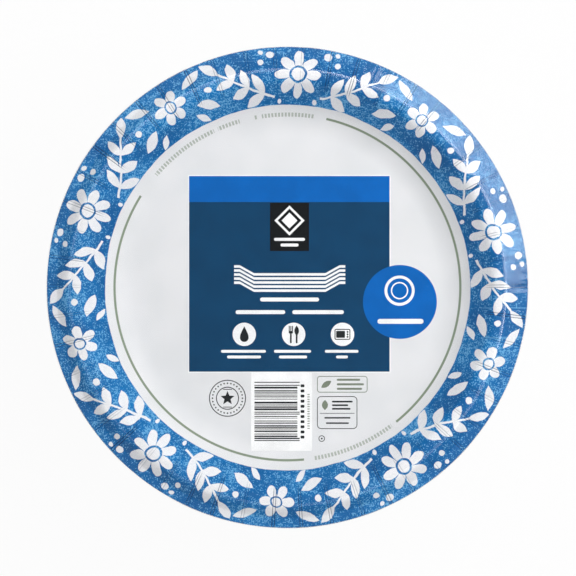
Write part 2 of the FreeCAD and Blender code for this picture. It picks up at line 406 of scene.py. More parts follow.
def make_leaf_shape():
    """A leaf with two pointed ends: b (1 - (x/a)^2) - |y| is above zero inside it."""
    inputs = (("Vector", "Vector"), ("Middle", "Vector"), ("Turn", "Vector"), ("Half sizes", "Vector"))
    group, start, end = new_group("leaf shape", inputs, (("Inside", "Float"),))
    own_axes = (start["Middle"], start["Turn"], start["Half sizes"])
    local = add(group, "Mapping", start["Vector"], *own_axes, vector_type="TEXTURE")
    axes = add(group, "SeparateXYZ", local.outputs[0]).outputs
    arc = maths(group, "SUBTRACT", 1.0, maths(group, "MULTIPLY", axes[0], axes[0]))
    inside = maths(group, "SUBTRACT", arc, maths(group, "ABSOLUTE", axes[1]))
    width = add(group, "SeparateXYZ", start["Half sizes"]).outputs[1]
    feed(group, end["Inside"], maths(group, "MULTIPLY", inside, width))
    return group


def make_flower_shape():
    """A daisy: R (c + (1 - c) sqrt|cos(n t)|) - d, open between its eye and its petals."""
    inputs = (("Vector", "Vector"), ("Middle", "Vector"), ("Radius", "Float"), ("Half petals", "Float"))
    group, start, end = new_group("flower shape", inputs, (("Inside", "Float"),))
    local = vectors(group, "SUBTRACT", start["Vector"], start["Middle"])
    axes = add(group, "SeparateXYZ", local).outputs
    away = measured(group, "LENGTH", local)
    turn = maths(group, "ARCTAN2", axes[1], axes[0])
    swing = maths(group, "COSINE", maths(group, "MULTIPLY", turn, start["Half petals"]))
    swing = maths(group, "SQRT", maths(group, "ABSOLUTE", swing))
    petal = maths(group, "MULTIPLY_ADD", swing, 1 - PETAL_NOTCH, PETAL_NOTCH)
    outside = maths(group, "SUBTRACT", maths(group, "MULTIPLY", petal, start["Radius"]), away)
    eye = maths(group, "MULTIPLY", start["Radius"], EYE_SIZE)
    past_gap = maths(group, "SUBTRACT", away, maths(group, "MULTIPLY", start["Radius"], EYE_GAP))
    petals = maths(group, "MINIMUM", outside, past_gap)
    feed(group, end["Inside"], maths(group, "MAXIMUM", petals, maths(group, "SUBTRACT", eye, away)))
    return group


SPONGED_INK = make_sponged_ink()
LEAF_SHAPE = make_leaf_shape()
FLOWER_SHAPE = make_flower_shape()
print("sponged ink, leaf and flower ready")

# %% [markdown]
# The sprig's stem is a parabola, y = k x x, that starts near the flower. Its leaves come in
# pairs, and each leans away from the stem by the same angle. The places follow from the
# stem's formula, so the stem can be bent by changing k alone. The loose leaves and the
# berries have no rule: each row below is a place, with a turn in degrees and half sizes.

# %% Where the leaves of the border lie
STEM_START = np.array([14.5, -10.6])
STEM_TURN = np.radians(14)
STEM_CURVE = 0.0105
STEM_LENGTH = 30.0
STEM_HALF_WIDTH = 0.6
LEAF_LEAN = np.radians(46)
LEAF_HALF_WIDTH = 2.4
LOOSE_LEAVES = ((51.5, -7.4, 22, 6.6, 2.4), (57.4, -12.0, 38, 4.2, 1.7), (55.5, 9.2, -30, 6.4, 2.3))
BERRIES = ((14.2, 11.2, 1.9), (18.6, 12.6, 1.2), (19.4, 7.4, 1.5), (49.0, 0.2, 1.8), (10.6, -13.2, 1.2))


def sprig_leaves():
    """Middle u, middle v, turn, half length and half width of each leaf on the stem."""
    along = np.array([5.0, 13.5, 22.0])
    along, side = np.repeat(along, 2), np.tile([-1, 1], len(along))
    along, side = np.append(along, STEM_LENGTH), np.append(side, 0)
    foot = np.stack((along, STEM_CURVE * along ** 2), axis=1)
    turn = STEM_TURN + np.arctan(2 * STEM_CURVE * along) + side * LEAF_LEAN
    half = np.where(side == 0, 5.6, 6.3 - 0.05 * along)
    rotate = np.array([[np.cos(STEM_TURN), np.sin(STEM_TURN)], [-np.sin(STEM_TURN), np.cos(STEM_TURN)]])
    reach = (half * 0.98)[:, None] * np.stack((np.cos(turn), np.sin(turn)), axis=1)
    middle = STEM_START + foot @ rotate + reach
    return np.column_stack((middle, turn, half, np.full(len(half), LEAF_HALF_WIDTH)))


print("leaves on the sprig:", len(sprig_leaves()))

# %% [markdown]
# Every shape gives a number that is above zero inside it, so the largest of them all is
# above zero inside any. A little noise on the coordinates makes the cut edges ragged.

# %% The border from its shapes
PLACE_ON_PLATE = (("Vector", "Vector"), ("Radius", "Float"))
BORDER_TURN = 0.29
RAGGED = 2.4
LARGE_FLOWER = ((0.0, 0.3, 0.0), 12.4, 4.0)
SMALL_FLOWER = ((UNIT / 2, 1.0, 0.0), 9.2, 3.0)


def make_border():
    """The white shapes of the border at a place on the plate: 1 inside them, 0 outside."""
    group, start, end = new_group("cut border", PLACE_ON_PLATE, (("White", "Float"),))
    axes = add(group, "SeparateXYZ", start["Vector"]).outputs
    turn = maths(group, "ARCTAN2", axes[1], axes[0])
    turn = maths(group, "MULTIPLY_ADD", turn, REPEATS / (2 * np.pi), BORDER_TURN)
    part = maths(group, "SUBTRACT", maths(group, "FRACT", turn), 0.5)
    u = maths(group, "MULTIPLY", maths(group, "ABSOLUTE", part), UNIT)
    v = maths(group, "SUBTRACT", maths(group, "DIVIDE", start["Radius"], MM), BAND_MIDDLE)
    flat = add(group, "CombineXYZ", u, v).outputs[0]
    ragged = add(group, "TexNoise", start["Vector"])
    ragged.inputs["Scale"].default_value = 130
    ragged.inputs["Detail"].default_value = 3
    push = vectors(group, "SUBTRACT", ragged.outputs["Color"], (0.5, 0.5, 0.5))
    push = vectors(group, "MULTIPLY", push, (RAGGED, RAGGED, 0.0))
    flat = vectors(group, "ADD", flat, push)
    shapes = [use_group(group, FLOWER_SHAPE, flat, *flower)[0] for flower in (LARGE_FLOWER, SMALL_FLOWER)]
    loose = np.array(LOOSE_LEAVES) * (1, 1, np.pi / 180, 1, 1)
    for mid_u, mid_v, lean, half, width in np.concatenate((sprig_leaves(), loose)).tolist():
        own_axes = ((mid_u, mid_v, 0.0), (0.0, 0.0, lean), (half, width, 1.0))
        shapes.append(use_group(group, LEAF_SHAPE, flat, *own_axes)[0])
    for mid_u, mid_v, size in BERRIES:
        away = measured(group, "DISTANCE", flat, (mid_u, mid_v, 0.0))
        shapes.append(maths(group, "SUBTRACT", size, away))
    own_axes = ((*STEM_START.tolist(), 0.0), (0.0, 0.0, STEM_TURN), (1, 1, 1))
    local = add(group, "Mapping", flat, *own_axes, vector_type="TEXTURE")
    stem = add(group, "SeparateXYZ", local.outputs[0]).outputs
    bend = maths(group, "MULTIPLY", maths(group, "MULTIPLY", stem[0], stem[0]), STEM_CURVE)
    line = near(group, stem[1], bend, STEM_HALF_WIDTH)
    ends = near(group, stem[0], STEM_LENGTH / 2, STEM_LENGTH / 2 + 1)
    shapes.append(maths(group, "MINIMUM", line, ends))
    feed(group, end["White"], steps(group, largest(group, shapes), -0.12, 0.12))
    return group


CUT_BORDER = make_border()
print("border ready, each part of it is", round(UNIT, 1), "mm long")

# %% [markdown]
# The line round the floor runs in two long arcs, and rows of fine ticks fill the gaps
# between them. Both are masks on the plate's radius and on the angle round its middle.

# %% The line round the floor
LINE_RADIUS = 93.0
LINE_ARCS = ((-51, 77), (148, 275.5))
TICK_ARCS = ((81, 101), (105, 141), (-81, -53))
TICKS_PER_DEGREE = 0.9
BLOCKS_PER_DEGREE = 0.66


def within(tree, angle, start, stop):
    """1 between two angles in degrees, whichever way round they are counted."""
    from_middle = maths(tree, "SUBTRACT", angle, (start + stop) / 2)
    wrapped = maths(tree, "WRAP", from_middle, 180.0, -180.0)
    return maths(tree, "LESS_THAN", maths(tree, "ABSOLUTE", wrapped), (stop - start) / 2)


def make_floor_line():
    """The grey-green line and its ticks: how much of its ink lies at a place."""
    group, start, end = new_group("floor line", PLACE_ON_PLATE, (("Ink", "Float"),))
    axes = add(group, "SeparateXYZ", start["Vector"]).outputs
    angle = maths(group, "DEGREES", maths(group, "ARCTAN2", axes[1], axes[0]))
    across = maths(group, "SUBTRACT", maths(group, "DIVIDE", start["Radius"], MM), LINE_RADIUS)
    away = maths(group, "ABSOLUTE", across)
    line = steps(group, away, 0.46, 0.72, 1.0, 0.0)
    arcs = largest(group, [within(group, angle, *arc) for arc in LINE_ARCS])
    tick = maths(group, "PINGPONG", maths(group, "MULTIPLY", angle, TICKS_PER_DEGREE), 0.5)
    block = maths(group, "FLOOR", maths(group, "MULTIPLY", angle, BLOCKS_PER_DEGREE))
    kept = noise(group, add(group, "CombineXYZ", block).outputs[0], 3.7, 0)
    kept = maths(group, "GREATER_THAN", kept, 0.36)
    ticks = maths(group, "MULTIPLY", maths(group, "GREATER_THAN", tick, 0.2), kept)
    ticks = maths(group, "MULTIPLY", ticks, steps(group, away, 0.95, 1.15, 0.62, 0.0))
    rows = largest(group, [within(group, angle, *arc) for arc in TICK_ARCS])
    line = maths(group, "MULTIPLY", line, arcs)
    feed(group, end["Ink"], maths(group, "MAXIMUM", line, maths(group, "MULTIPLY", ticks, rows)))
    return group


FLOOR_LINE = make_floor_line()
print("floor line ready at a radius of", LINE_RADIUS, "mm")

# %% [markdown]
# The food side is coated, so it shines a little more than the bare board. From the middle
# out it is white, then the line, then the band of ink, whose inner edge wavers slightly.
# In the pinched grooves of the pleats the colour is multiplied darker, in patches: painted shade that makes
# the grooves read as fine dark lines. The mesh knows where
#  they are, and hands that to the material as the attribute crease.
#
# No two plates leave the press turned alike, so each plate below the top one carries an
# angle of its own, the attribute print_turn, by which its print is turned. Only specks of
# it show at the edges of the stack. On the top plate the attribute is missing and reads 0.

# %% The printed food side
EDGE_WOBBLE = 2.4


def make_printed_board():
    """Line over white inside BAND_START, border over ink outside it, painted shade in the creases."""
    material, tree, shader, _ = new_material("printed board")
    place = add(tree, "TexCoord").outputs["Object"]
    cloud, grain, height = use_group(tree, BOARD_GRAIN, place)
    spun = add(tree, "VectorRotate", place, rotation_type="Z_AXIS")
    feed(tree, spun.inputs["Angle"], add(tree, "Attribute", attribute_name="print_turn").outputs["Fac"])
    flat = vectors(tree, "MULTIPLY", spun.outputs[0], (1, 1, 0))
    radius = measured(tree, "LENGTH", flat)
    white = blend(tree, steps(tree, cloud, 0.3, 0.7), srgb(229, 230, 231), srgb(236, 236, 237))
    lined = blend(tree, use_group(tree, FLOOR_LINE, flat, radius)["Ink"], white, srgb(134, 148, 126))
    ink = use_group(tree, SPONGED_INK, place)["Color"]
    border = use_group(tree, CUT_BORDER, flat, radius)["White"]
    paper = blend(tree, steps(tree, grain, 0.3, 0.7), srgb(233, 234, 238), srgb(243, 243, 244))
    band = blend(tree, border, ink, paper)
    uneven = maths(tree, "SUBTRACT", noise(tree, flat, 26, 4, 0.6), 0.5)
    edge = maths(tree, "MULTIPLY_ADD", uneven, -EDGE_WOBBLE, BAND_START)
    into = maths(tree, "SUBTRACT", maths(tree, "DIVIDE", radius, MM), edge)
    inked = blend(tree, steps(tree, into, -0.15, 0.15), lined, band)
    # Painted shade: the colour is multiplied towards a dark blue-grey in the pleats' grooves, in patches by
    # the cloud.
    pinched = add(tree, "Attribute", attribute_name="crease").outputs["Fac"]
    crease_shade_patches = steps(tree, cloud, 0.35, 0.6, 0.45, 0.9)
    painted_crease_shade = maths(tree, "MULTIPLY", steps(tree, pinched, 0.1, 0.9), crease_shade_patches)
    feed(tree, shader.inputs["Base Color"], blend(tree, painted_crease_shade, inked, srgb(78, 92, 118), "MULTIPLY"))
    feed(tree, shader.inputs["Roughness"], steps(tree, grain, 0.3, 0.7, 0.36, 0.46))
    shader.inputs["Specular IOR Level"].default_value = 0.18
    bump = add(tree, "Bump", 0.25, 0.0001)
    feed(tree, bump.inputs["Height"], height)
    feed(tree, shader.inputs["Normal"], bump.outputs[0])
    return material


printed_board = make_printed_board()
print("printed board ready")

# %% [markdown]
# ## The plates below the top one
#
# A stack shows little more of each plate than its cut edge, so the plates below the top
# one are made with few faces. They all share the same facets, which lets them nest with
# the real clearance. Only the lips differ: each plate's lip ends a little short of the full
# radius and waves up and down by a tenth of a millimetre, as punched board does. Each lip
# is also turned a little, so that the corners of the facets don't line up in the stack.

# %% Nested plates, one mesh for each node
PLAIN_COLUMNS = 72
SHOULDER = 118.0
LIP_SHORT = (0.02, 0.3)
LIP_EDGE_WAVE = 0.05
LIP_LIFT = 0.08
plain_angle = np.arange(PLAIN_COLUMNS) * 2 * np.pi / PLAIN_COLUMNS
plate_rng = np.random.default_rng(204)


def waves(angle, rng, orders, size):
    """A sum of sines round the circle, size / n sin(n a + phase), with phases of its own."""
    order = np.asarray(orders)[:, None]
    phase = rng.uniform(0, 2 * np.pi, order.shape)
    return size * (np.sin(order * angle + phase) / order * order.min()).sum(0) / np.sqrt(len(order))


def plain_plate(seat):
    """Rings of one plate at a seat height: the food side outwards, then the underside back."""
    radius, height, slope = food_side(PLAIN_STEPS)
    low_radius, low_height = underside(radius, height, slope)
    radius = np.concatenate((radius, low_radius[::-1]))[:, None]
    height = np.concatenate((height, low_height[::-1]))[:, None] + seat
    lip = np.clip((radius - RIM_RADIUS + LIP_WIDTH) / LIP_WIDTH, 0, 1) ** 2
    short = plate_rng.uniform(*LIP_SHORT) + waves(plain_angle, plate_rng, (1, 2, 5), LIP_EDGE_WAVE)
    lift = waves(plain_angle, plate_rng, (2, 3, 7), LIP_LIFT)
    turned = np.clip((radius - SHOULDER) / (RIM_RADIUS - LIP_WIDTH - SHOULDER), 0, 1)
    angle = plain_angle + turned * plate_rng.uniform(-0.5, 0.5) * 2 * np.pi / PLAIN_COLUMNS
    radius = np.minimum(radius - lip * np.clip(short, 0, None), RIM_RADIUS)
    return ring_points(radius, height + lip * lift, angle, seat + BOARD, seat)


def make_plain_node(node, seats):
    """All plates of one node in one mesh: the same faces, moved on by one plate's points."""
    rings = 2 * len(food_side(PLAIN_STEPS)[0])
    quads, tris = ring_faces(rings, PLAIN_COLUMNS)
    points = [plain_plate(seat) for seat in seats]
    shift = np.arange(len(seats))[:, None, None] * len(points[0])
    food_rows = np.arange(rings - 1) < rings // 2 - 1
    quad_slots = np.tile(np.repeat(np.where(food_rows, 0, 1), PLAIN_COLUMNS), len(seats))
    tri_slots = np.tile(np.repeat([0, 1], PLAIN_COLUMNS), len(seats))
    piece = make_piece(
        node.replace("_", "-"), np.concatenate(points), (quads + shift).reshape(-1, 4),
        (tris + shift).reshape(-1, 3), (printed_board, bare_board), quad_slots, tri_slots,
        print_turn=np.repeat(plate_rng.uniform(0, 2 * np.pi, len(seats)), len(points[0])),
    )
    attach(piece, "root")
    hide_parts(node)


plain_nodes = sorted(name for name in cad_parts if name.startswith("plates_"))
plate_count = max(int(name.split("_")[3]) for name in plain_nodes) + 1
bottom_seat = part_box("bottom_plate")[0].z / MM
pitch = (TOP_SEAT - bottom_seat) / (plate_count - 1)
print(plate_count, "plates with a pitch of", round(pitch, 4), "mm")
make_plain_node("bottom_plate", [bottom_seat])
for node in plain_nodes:
    first, last = (int(part) for part in node.split("_")[1::2])
    make_plain_node(node, bottom_seat + pitch * (np.arange(first, last + 1) - 1))

# %% [markdown]
# ## The top plate
#
# Pressing a flat disc into a plate leaves too much board at the rim, and the press folds
# it into narrow radial pleats. Each pleat shows as two fine grooves with a slightly raised
# strip between them, and the board swells a little from one pleat to the next. The mesh
# places its columns at the pleats: nine close together at each, and five spread between.

# %% Where the pleats lie
PLEAT_OFFSETS = np.array([-1.7, -0.95, -0.65, -0.35, 0, 0.35, 0.65, 0.95, 1.7])
PLEAT_PRESS = np.array([0, 0, -0.2, 0, 0.04, 0, -0.2, 0, 0])
BETWEEN = 5
BETWEEN_SWELL = 0.05
PLEAT_RADIUS = 116
top_rng = np.random.default_rng(50)


def pleat_columns():
    """Angles of all columns, how far each is pressed in, and the pleat each belongs to."""
    gap = 2 * np.pi / PLEATS
    centre = np.arange(PLEATS) * gap + top_rng.uniform(-0.08, 0.08, PLEATS) * gap
    at_pleat = centre[:, None] + PLEAT_OFFSETS / PLEAT_RADIUS
    start, stop = at_pleat[:, -1:], np.roll(at_pleat[:, :1], -1, axis=0)
    stop = stop + 2 * np.pi * (np.arange(PLEATS) == PLEATS - 1)[:, None]
    share = np.arange(1, BETWEEN + 1) / (BETWEEN + 1)
    angle = np.concatenate((at_pleat, start + (stop - start) * share), axis=1)
    depth = top_rng.uniform(0.6, 1.2, (PLEATS, 1))
    swell = BETWEEN_SWELL * np.sin(np.pi * share) * top_rng.uniform(0.3, 1.6, (PLEATS, 1))
    press = np.concatenate((PLEAT_PRESS * depth, swell), axis=1)
    return angle.ravel(), press.ravel(), np.repeat(np.arange(PLEATS), angle.shape[1])


def facet(angle, sides):
    """How much a regular polygon falls inside its circle: cos(w/2) / cos(a mod w - w/2)."""
    width = 2 * np.pi / sides
    return np.cos(width / 2) / np.cos(angle % width - width / 2)


print(PLEATS, "pleats with", len(PLEAT_OFFSETS) + BETWEEN, "columns each")

# %% [markdown]
# The pleats start on the slope and run out to the lip. Each column is pressed in along the
# section's normal, by a share that grows smoothly from nothing. The underside keeps the
# plain facets of the plates below, so that the top plate nests on them like all the others.

# %% The top plate
PLEAT_REACH = (102, 106)
PLEAT_FADE = 5
FLOOR_WAVE = 0.06
FLOOR_FADE = 15
RIM_WIDTH = 9


def make_top_plate():
    """The fine section, pressed along its normal at the pleats, over the plain underside."""
    angle, press, pleat = pleat_columns()
    radius, height, slope = (line[:, None] for line in food_side(FINE_STEPS))
    reach = top_rng.uniform(*PLEAT_REACH, PLEATS)[pleat]
    fade = np.clip((radius - reach) / PLEAT_FADE, 0, 1)
    fade = fade * fade * (3 - 2 * fade)
    inner = np.clip(1 - (radius - FLOOR_RADIUS) / FLOOR_FADE, 0, 1)
    moved = press * fade + waves(angle, top_rng, (2, 3, 4), FLOOR_WAVE) * inner
    lip = np.clip((radius - RIM_RADIUS + RIM_WIDTH) / RIM_WIDTH, 0, 1) ** 2
    short = 0.06 + waves(angle, top_rng, (2, 5, 9, 17), 0.05) + np.clip(-press, 0, None) * 1.2
    food_radius = np.minimum(radius - moved * np.sin(slope) - lip * np.clip(short, 0, None), RIM_RADIUS)
    food_height = height + moved * np.cos(slope)
    plain_radius, plain_height = underside(*food_side(PLAIN_STEPS))
    low_radius = plain_radius[::-1, None] * facet(angle, PLAIN_COLUMNS)
    low_radius = np.minimum(low_radius, food_radius[-1:])
    low_height = np.broadcast_to(plain_height[::-1, None], low_radius.shape)
    rings = np.concatenate((food_radius, low_radius))
    heights = np.concatenate((food_height, low_height)) + TOP_SEAT
    points = ring_points(rings, heights, angle, TOP_SEAT + BOARD, TOP_SEAT)
    # How deep each point lies in a groove, handed on as the attribute crease, where the printed board
    # paints shade.
    pinched = np.zeros(rings.shape)
    pinched[:len(radius)] = np.clip(-press, 0, None) * fade / -PLEAT_PRESS.min()
    pinched = np.append(pinched.ravel(), (0, 0))
    quads, tris = ring_faces(len(rings), len(angle))
    quad_slots = np.repeat(np.where(np.arange(len(rings) - 1) < len(radius) - 1, 0, 1), len(angle))
    piece = make_piece(
        "top-plate", points, quads, tris, (printed_board, bare_board), quad_slots,
        np.repeat([0, 1], len(angle)), crease=pinched,
    )
    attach(piece, "root")
    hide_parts("top_plate")
    return piece


top_plate = make_top_plate()
print("top plate is", round(top_plate.dimensions.x / MM, 2), "mm across")

# %% [markdown]
# ## The shrink film
#
# Heat pulls the film tight, so it touches the stack only where the stack reaches
# furthest. That gives a simple recipe. For each direction, from straight down to straight
# up, the outline point that lies furthest that way is moved out by the film's clearance.
# The points that come out are the film's own section, with straight spans between them.

# %% The film's section
def taut_section(clearance):
    """Support points of the stack's section: argmax of r cos a + h sin a, moved out."""
    radius, height, slope = food_side(FINE_STEPS)
    low_radius, low_height = underside(radius, height, slope)
    radius = np.concatenate(([0], low_radius, radius, [0]))
    top = np.concatenate(([0], low_height, height, [BOARD])) + TOP_SEAT
    low = top - TOP_SEAT + bottom_seat
    outline = np.stack((np.tile(radius, 2), np.concatenate((low, top))), axis=1)
    direction = np.radians(np.linspace(-90, 90, 361))
    normal = np.stack((np.cos(direction), np.sin(direction)), axis=1)
    section = outline[np.argmax(normal @ outline.T, axis=1)] + normal * clearance
    return section, normal


def spread_along(section, normal, spans):
    """The section with its long straight spans divided, and the normal at each point."""
    length = np.concatenate(([0], np.cumsum(np.linalg.norm(np.diff(section, axis=0), axis=1))))
    extra = np.linspace(0, length[-1], spans)
    at = np.unique(np.round(np.concatenate((length, extra)), 2))
    return np.stack([np.interp(at, length, column) for column in (*section.T, *normal.T)])


film_section, film_normal = taut_section(film_high.z / MM - top_high.z / MM)
print("film's section reaches", round(float(film_section[:, 0].max()), 2), "mm from the axis")

# %% [markdown]
# Clear film is seen by what it mirrors. It mirrors little where it faces the eye and much
# at a slant, which is what the Fresnel node works out, so that value serves as the film's
# opacity, on a shader that is a plain mirror. Long shallow folds in its height bend the
# mirrored strips of light.

# %% The clear film
FILM_INDEX = 1.36
FOLDS_FROM, FOLDS_FULL = 0.115, 0.127


def make_film_folds():
    """A height that runs in long folds: noise on (x, y) / r, stretched along the height."""
    group, start, end = new_group("film folds", (("Vector", "Vector"),), (("Height", "Float"),))
    flat = vectors(group, "MULTIPLY", start["Vector"], (1, 1, 0))
    away = measured(group, "LENGTH", flat)
    around = vectors(group, "NORMALIZE", flat)
    rise = vectors(group, "MULTIPLY", start["Vector"], (0, 0, 0.9))
    place = vectors(group, "ADD", around, rise)
    broad, fine = noise(group, place, 7, 3, 0.5), noise(group, place, 34, 2, 0.5)
    height = maths(group, "MULTIPLY_ADD", fine, 0.3, maths(group, "MULTIPLY", broad, 0.7))
    feed(group, end["Height"], maths(group, "MULTIPLY", height, steps(group, away, FOLDS_FROM, FOLDS_FULL)))
    return group


FILM_FOLDS = make_film_folds()


def make_clear_film():
    """Clear where it faces the eye, mirroring at a slant, by the Fresnel value as opacity.

    The Fresnel node turns its index over on a back face, so the index is turned over there
    first, and both sides of the film then mirror alike."""
    material, tree, shader, _ = new_material("clear film")
    shader.inputs["Base Color"].default_value = (1, 1, 1, 1)
    shader.inputs["Metallic"].default_value = 1
    shader.inputs["Roughness"].default_value = 0.1
    back = add(tree, "NewGeometry").outputs["Backfacing"]
    index = add(tree, "MapRange", back, 0.0, 1.0, FILM_INDEX, 1 / FILM_INDEX).outputs[0]
    bump = add(tree, "Bump", 0.6, 0.0015)
    place = add(tree, "TexCoord").outputs["Object"]
    feed(tree, bump.inputs["Height"], use_group(tree, FILM_FOLDS, place)[0])
    feed(tree, shader.inputs["Normal"], bump.outputs[0])
    feed(tree, shader.inputs["Alpha"], add(tree, "Fresnel", index, bump.outputs[0]).outputs[0])
    return material


clear_film = make_clear_film()
print("clear film ready")

# %% [markdown]
# The film is two skins, one film's thickness apart, so that it is a closed shell like the
# solid. Where it turns under the bottom plate and over the top lip it has more width than
# it needs, and gathers in small folds. A sum of sines, cut off below zero, gives folds
# that stand out and never press into the plates.

# %% The film as a closed shell
FILM = 0.1
FILM_COLUMNS = 300
FILM_SPANS = 58
GATHER = 0.3
GATHER_HEIGHT = 45
LOW_FADE = 20
HIGH_GATHER_START = 165
HIGH_FROM, HIGH_FADE = 112, 12
HIGH_SHIFT = 97
film_rng = np.random.default_rng(12)


def make_film():
    """The taut section turned round the axis, twice, FILM apart, gathered by sums of sines."""
    section = spread_along(film_section, film_normal, FILM_SPANS)
    radius, height, across, up = (line[:, None] for line in section)
    angle = np.arange(FILM_COLUMNS) * 2 * np.pi / FILM_COLUMNS
    low = np.clip((GATHER_HEIGHT - height) / GATHER_HEIGHT, 0, 1)
    low = low * np.clip((radius - FLOOR_RADIUS) / LOW_FADE, 0, 1)
    high = np.clip((height - HIGH_GATHER_START) / GATHER_HEIGHT, 0, 1)
    high = high * np.clip((radius - HIGH_FROM) / HIGH_FADE, 0, 1)
    folds = np.clip(waves(angle, film_rng, (11, 17, 23, 31, 43), GATHER), 0, None)
    gather = folds * low ** 1.5 + np.roll(folds, HIGH_SHIFT) * 0.5 * high ** 2
    out_radius, out_height = radius + gather * across, height + gather * up
    in_radius, in_height = radius - FILM * across, height - FILM * up
    in_radius, in_height = in_radius + gather * across, in_height + gather * up
    in_radius = np.maximum(in_radius, 0.01)
    rings = len(radius)
    outer = ring_points(out_radius, out_height, angle, 0, film_high.z / MM)
    inner = ring_points(in_radius, in_height, angle, FILM, film_high.z / MM - FILM)
    quads, tris = ring_faces(rings, FILM_COLUMNS)
    points = np.concatenate((outer, inner))
    quads = np.concatenate((quads, (quads + len(outer))[:, ::-1]))
    tris = np.concatenate((tris, (tris + len(outer))[:, ::-1]))
    piece = make_piece("shrink-film", points, quads, tris, (clear_film,))
    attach(piece, "root")
    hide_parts("shrink_film")
    return piece


film = make_film()
print("film is", round(film.dimensions.z / MM, 2), "mm high")

# %% [markdown]
# ## The label
#
# A label like this is printed on the inner face of the film, so its ink lies under the
# film. Each ink here is a closed slab about a hundredth of a millimetre thick. The large
# fields lie lowest, and what is drawn on them lies above. The drawings are bars, dots and
# simple pictures: nested plates from the side, a drop, cutlery, an oven. All shapes are
# outlines in millimetres from the plate's axis, made by short formulas.

# %% Outlines for flat shapes
INK_THICKNESS = 0.012
INK_STEP = 0.016
FILM_GAP = 0.004
INK_ROUGHNESS = 0.45
PLATES_X = 1.2


def disc(x, y, radius, sides=72):
    """A circle: (x + r cos t, y + r sin t)."""
    turn = np.arange(sides) * 2 * np.pi / sides
    return np.stack((x + radius * np.cos(turn), y + radius * np.sin(turn)), axis=1)


def rounded(x, y, width, height, corner, sides=6):
    """A box about (x, y): quarter circles of the corner's radius round four centres."""
    turn = np.linspace(0, np.pi / 2, sides)
    turn = (turn + np.arange(4)[:, None] * np.pi / 2).ravel()
    side_x, side_y = np.repeat([1, -1, -1, 1], sides), np.repeat([1, 1, -1, -1], sides)
    across = side_x * (width / 2 - corner) + corner * np.cos(turn)
    up = side_y * (height / 2 - corner) + corner * np.sin(turn)
    return np.stack((x + across, y + up), axis=1)


def bar(left, right, y, height):
    """A bar with round ends, from its left end to its right one."""
    return rounded((left + right) / 2, y, right - left, height, height * 0.49), None


def star(x, y, radius, inner, points=5):
    """Points that lie on two circles by turns, the first of them straight up."""
    turn = np.arange(2 * points) * np.pi / points + np.pi / 2
    size = np.where(np.arange(2 * points) % 2, inner, radius)
    return np.stack((x + size * np.cos(turn), y + size * np.sin(turn)), axis=1)


def drop(x, y, width, height):
    """A teardrop: x = w sin t sin(t/2)^1.5, y = h cos t, pointed at its top."""
    turn = np.arange(60) * 2 * np.pi / 60
    across = -width / 2 * 1.3 * np.sin(turn) * np.sin(turn / 2) ** 1.5
    return np.stack((x + across, y + height / 2 * np.cos(turn)), axis=1)


def leaf(x, y, length, width, turn):
    """Two arcs that meet in points: y = +-w/2 (1 - (2x/l)^2), turned."""
    along = np.linspace(-1, 1, 16)
    upper = np.stack((along, 1 - along ** 2), axis=1)
    both = np.concatenate((upper, (upper * (1, -1))[-2:0:-1])) * (length / 2, width / 2)
    rotate = np.array([[np.cos(turn), np.sin(turn)], [-np.sin(turn), np.cos(turn)]])
    return (both @ rotate + (x, y))[::-1]


def round_line(x, y, radius, line):
    """A circle as a line of even width: a disc with a smaller one cut out."""
    return disc(x, y, radius), disc(x, y, radius - line)


def box_line(x, y, width, height, corner, line):
    """A rounded box as a line of even width: a box with a smaller one cut out."""
    inner = rounded(x, y, width - 2 * line, height - 2 * line, corner - line)
    return rounded(x, y, width, height, corner), inner


def filled(*outlines):
    """Shapes with nothing cut out of them."""
    return [(outline, None) for outline in outlines]


def nested_plate(y, half=29.5, floor=19.0, rise=4.2, line=1.35):
    """A plate from the side: a flat floor and two raised sides, as one even stroke."""
    across = np.array([-half, 3 - half, -floor, floor, half - 3, half])
    upper = np.stack((across, rise * np.array([1, 1, 0, 0, 1, 1])), axis=1)
    return np.concatenate((upper - (0, line), upper[::-1])) + (PLATES_X, y), None


print("a disc of 20 mm has", len(disc(0, 0, 20)), "points")

# %% [markdown]
# A slab has a wall round its outline, one more round the part that is cut out, and flat
# faces above and below. The levels keep the inks apart, or else they would lie in one
# plane and flicker. At most three lie over each other, because the renderer only looks
# through a limited number of faces.

# %% Slabs of ink
def make_ink(name, shapes, level, colour):
    """One mesh of flat closed slabs from pairs of outlines, the inner one or None."""
    top = film_high.z / MM - FILM - FILM_GAP - level * INK_STEP
    points, faces = [], []
    for outer, inner in shapes:
        rings = [outer] if inner is None else [outer, inner]
        start, count = sum(map(len, points)), len(outer)
        for outline in rings:
            points.append(np.column_stack((outline, np.full(count, top))))
            points.append(np.column_stack((outline, np.full(count, top - INK_THICKNESS))))
        index = start + np.arange(2 * len(rings) * count).reshape(-1, count)
        beside = np.roll(index, -1, axis=1)
        walls = [(1, 0)] if inner is None else [(1, 0), (0, 2), (2, 3), (3, 1)]
        for low, high in walls:
            faces += np.stack((index[low], beside[low], beside[high], index[high]), axis=1).tolist()
        if inner is None:
            faces += [index[0].tolist(), index[1][::-1].tolist()]
    mesh = bpy.data.meshes.new(name)
    mesh.from_pydata((np.concatenate(points) * MM).tolist(), [], faces)
    mesh.materials.append(make_ink_material(name, colour))
    piece = bpy.data.objects.new(name, mesh)
    bpy.context.collection.objects.link(piece)
    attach(piece, "root")
    print("made", name, "with", len(shapes), "shapes")

# %% [markdown]
# Printed ink is almost even. A faint mottle keeps it from looking like a screen. The ink
# lets light through to the plate below it, or else a hard shadow of the label would lie on
# the floor of the plate, which the soft light of the photo doesn't show.

